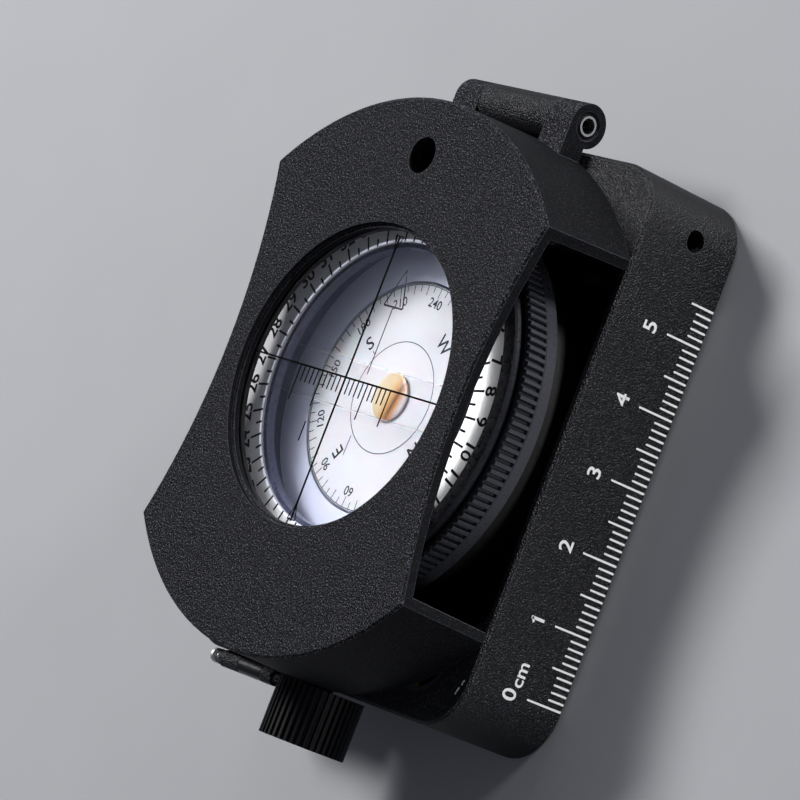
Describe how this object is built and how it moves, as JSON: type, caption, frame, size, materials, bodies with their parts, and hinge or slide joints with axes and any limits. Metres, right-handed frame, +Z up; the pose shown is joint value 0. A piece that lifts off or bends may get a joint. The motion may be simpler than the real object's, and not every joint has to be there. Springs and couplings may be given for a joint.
{
  "type": "handheld compass",
  "caption": "Pocket sighting compass: windowed cover hinged over a ribbed rotating bezel and floating card, on a ruled base with level, clamp knob, lens and tripod thread.",
  "frame": {"origin": "mouth of the tripod thread in the underside, on the dial's axis", "axes": "+Z up along the dial's axis, +Y towards the cover's hinge, +X towards the side with the ruler"},
  "size_m": [0.058, 0.0912, 0.0315],
  "materials": {
    "black_powder_coat": "cast aluminium with a fine-grained matte black powder coat",
    "black_satin": "aluminium with satin black lacquer",
    "black_anodised": "satin black anodised",
    "plated_screws": "nickel plated",
    "brass_parts": "machined",
    "pale_well": "pale lavender grey, moulded",
    "navy_surround": "dark navy, moulded",
    "steel_parts": "bright drawn",
    "plated_pins": "plated, satin",
    "seal_rubber": "moulded black rubber",
    "level_cup": "grey anodised",
    "level_liquid": "clear yellow-green liquid",
    "clear_glass": "polished clear",
    "white_plastic": "smooth white, printed black",
    "hub_plastic": "moulded, cream",
    "amber_jewel": "polished amber",
    "magnet_steel": "ground magnet alloy"
  },
  "bodies": {
    "base": {"base_casting": "black_powder_coat", "bottom_plate": "black_satin", "bottom_screws": "plated_screws", "tripod_bush": "brass_parts", "compass_bowl": "black_anodised", "bowl_screws": "plated_screws", "card_well": "pale_well", "dial_surround": "navy_surround", "pivot_post": "steel_parts", "bezel_seal": "seal_rubber", "bezel_snap_ring": "steel_parts", "shaft_bush": "brass_parts", "lever_bracket": "steel_parts", "lever_pin": "steel_parts", "lift_spring": "steel_parts", "level_cup": "level_cup", "level_liquid": "level_liquid", "level_glass": "clear_glass", "lens_hinge_pin": "plated_pins", "lens_spring": "steel_parts"},
    "cover": {"cover_casting": "black_powder_coat", "window_glass": "clear_glass", "window_ring": "black_satin", "hinge_pin": "plated_pins"},
    "bezel": {"bezel_ring": "black_anodised", "scale_ring": "white_plastic", "dial_crystal": "clear_glass"},
    "card": {"compass_card": "white_plastic", "card_hub": "hub_plastic", "pivot_jewel": "amber_jewel", "bar_magnet": "magnet_steel"},
    "knob": {"clamp_knob": "black_anodised", "knob_shaft": "steel_parts", "knob_screw": "plated_screws"},
    "lever": {"clamp_lever": "steel_parts"},
    "sleeve": {"lift_sleeve": "brass_parts"},
    "lens": {"lens_leaf": "black_satin", "reading_lens": "clear_glass"}
  },
  "joints": [
    {"name": "cover_hinge", "type": "hinge", "parent": "base", "child": "cover", "pos_m": [0, 0.0416, 0.0173], "axis": [-1, 0, 0], "range_deg": [0, 180]},
    {"name": "bezel_turn", "type": "hinge", "parent": "base", "child": "bezel", "pos_m": [0, 0, 0.025], "axis": [0, 0, 1], "continuous": true},
    {"name": "card_swing", "type": "hinge", "parent": "base", "child": "card", "pos_m": [0, 0, 0.0209], "axis": [0, 0, 1], "continuous": true},
    {"name": "clamp_turn", "type": "hinge", "parent": "base", "child": "knob", "pos_m": [0, -0.0383, 0.0148], "axis": [0, 1, 0], "range_deg": [0, 90]},
    {"name": "lever_rock", "type": "hinge", "parent": "base", "child": "lever", "pos_m": [0, -0.0125, 0.01265], "axis": [1, 0, 0], "range_deg": [0, 3.69]},
    {"name": "sleeve_lift", "type": "slide", "parent": "base", "child": "sleeve", "axis": [0, 0, 1], "range_m": [0, 0.000805], "deforming": ["lift_spring"]},
    {"name": "lens_fold", "type": "hinge", "parent": "base", "child": "lens", "pos_m": [-0.016, -0.0395, 0.015], "axis": [-1, 0, 0], "range_deg": [0, 175]}
  ],
  "couplings": [
    {"joint": "lever_rock", "follows": "clamp_turn", "ratio": 0.040772},
    {"joint": "sleeve_lift", "follows": "clamp_turn", "m_per_rad": 0.0005093}
  ]
}
